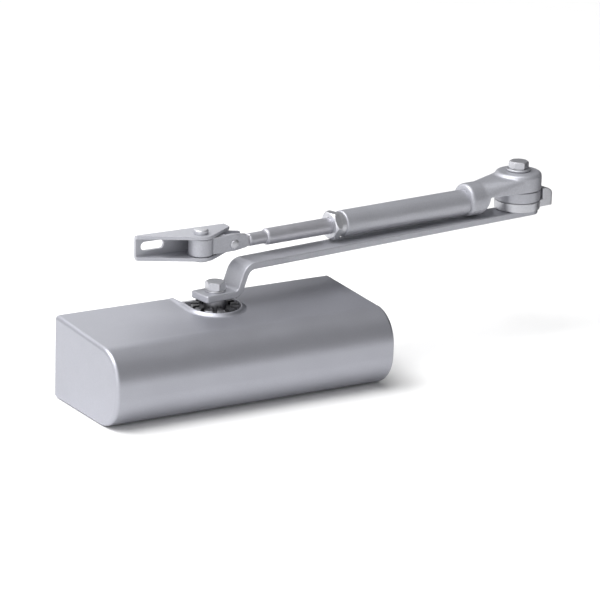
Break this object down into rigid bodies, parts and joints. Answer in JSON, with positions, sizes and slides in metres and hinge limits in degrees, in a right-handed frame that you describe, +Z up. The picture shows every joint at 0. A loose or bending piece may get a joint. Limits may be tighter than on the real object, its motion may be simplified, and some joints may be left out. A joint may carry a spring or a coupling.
{
  "type": "door closer",
  "caption": "Surface-mounted hydraulic door closer: D-shaped cover over a rack-and-pinion body, with a folding arm, hold-open elbow, adjustable forearm and swivelling frame bracket.",
  "frame": {"origin": "on the door face (Y = 0), at the centre of the four door fixing holes, level with the middle of the closer body; the pinion's axis is at X = 0", "axes": "+X along the body towards the elbow, +Y into the door (the closer stands out towards -Y), +Z up, along the pinion towards the arm"},
  "size_m": [0.4166, 0.1132, 0.125],
  "materials": {
    "silver_paint": "satin silver-grey paint",
    "zinc_plate": "bright zinc plate",
    "machined_steel": "machined",
    "spring_steel": "oil-tempered wire",
    "die_cast": "die-cast, unpainted",
    "black_rubber": "matt",
    "valve_brass": "turned",
    "black_steel": "black oxide"
  },
  "bodies": {
    "closer_body": {"cover": "silver_paint", "mounting_plate": "machined_steel", "housing": "die_cast", "body_screws": "zinc_plate", "spring_end_plug": "machined_steel", "pressure_end_plug": "machined_steel", "plug_seals": "black_rubber", "upper_bearing": "machined_steel", "lower_bearing": "machined_steel", "shaft_seal": "black_rubber", "gland_nut": "black_steel", "lower_cap": "machined_steel", "outer_spring": "spring_steel", "inner_spring": "spring_steel"},
    "main_arm": {"pinion_shaft": "machined_steel", "main_arm": "silver_paint", "arm_washer": "zinc_plate", "arm_screw": "zinc_plate", "elbow_bolt": "zinc_plate", "elbow_washer": "zinc_plate", "elbow_bush": "machined_steel"},
    "piston": {"piston": "machined_steel", "piston_rings": "black_rubber", "check_valve_seat": "valve_brass"},
    "check_ball": {"check_ball": "machined_steel"},
    "closing_valve": {"closing_speed_valve": "valve_brass"},
    "latching_valve": {"latching_speed_valve": "valve_brass"},
    "hold_open_cam": {"hold_open_plate": "zinc_plate", "hold_open_disc": "machined_steel"},
    "forearm": {"forearm_fitting": "silver_paint", "forearm_tube": "silver_paint", "tube_insert": "zinc_plate", "detent_spring": "spring_steel"},
    "detent": {"detent_ball": "machined_steel"},
    "lock_nut": {"lock_nut": "zinc_plate"},
    "rod": {"adjusting_rod": "zinc_plate"},
    "fork": {"swivel_fork": "silver_paint", "fork_rivet": "zinc_plate"},
    "bracket": {"frame_bracket": "silver_paint", "pivot_pin": "zinc_plate", "pin_retainer": "black_steel"}
  },
  "joints": [
    {"name": "pinion_turn", "type": "hinge", "parent": "closer_body", "child": "main_arm", "pos_m": [0, -0.0275, 0], "axis": [0, 0, 1], "range_deg": [-180, 10]},
    {"name": "piston_slide", "type": "slide", "parent": "closer_body", "child": "piston", "axis": [1, 0, 0], "range_m": [-0.0284, 0.0017], "deforming": ["outer_spring", "inner_spring"]},
    {"name": "check_ball_lift", "type": "slide", "parent": "piston", "child": "check_ball", "axis": [1, 0, 0], "range_m": [0, 0.0025]},
    {"name": "closing_valve_turn", "type": "hinge", "parent": "closer_body", "child": "closing_valve", "pos_m": [-0.08, -0.045, 0.018], "axis": [1, 0, 0], "range_deg": [-90, 720]},
    {"name": "latching_valve_turn", "type": "hinge", "parent": "closer_body", "child": "latching_valve", "pos_m": [-0.08, -0.045, -0.018], "axis": [1, 0, 0], "range_deg": [-90, 720]},
    {"name": "hold_open_adjust", "type": "hinge", "parent": "main_arm", "child": "hold_open_cam", "pos_m": [0.27701, 0.00573, 0.066], "axis": [0, 0, 1], "range_deg": [-120, 120]},
    {"name": "elbow_fold", "type": "hinge", "parent": "main_arm", "child": "forearm", "pos_m": [0.27701, 0.00573, 0.08], "axis": [0, 0, 1], "range_deg": [-175, 175]},
    {"name": "detent_press", "type": "slide", "parent": "forearm", "child": "detent", "axis": [0, 0, 1], "range_m": [0, 0.0012], "stiffness_N_per_m": 3000, "springref_m": -0.002, "deforming": ["detent_spring"]},
    {"name": "lock_nut_turn", "type": "hinge", "parent": "forearm", "child": "lock_nut", "pos_m": [0.10567, -0.00926, 0.0703], "axis": [-0.9962, -0.0872, 0], "range_deg": [-180, 180]},
    {"name": "rod_extend", "type": "slide", "parent": "forearm", "child": "rod", "axis": [-0.9962, -0.0872, 0], "range_m": [-0.012, 0.025]},
    {"name": "rod_tilt", "type": "hinge", "parent": "rod", "child": "fork", "pos_m": [0.01721, -0.017, 0.0703], "axis": [0.0872, -0.9962, 0], "range_deg": [-10, 10]},
    {"name": "bracket_swivel", "type": "hinge", "parent": "fork", "child": "bracket", "pos_m": [-0.0077, -0.01918, 0.072], "axis": [0, 0, 1], "range_deg": [-5, 175]}
  ],
  "couplings": [
    {"joint": "piston_slide", "follows": "pinion_turn", "m_per_rad": 0.009}
  ]
}
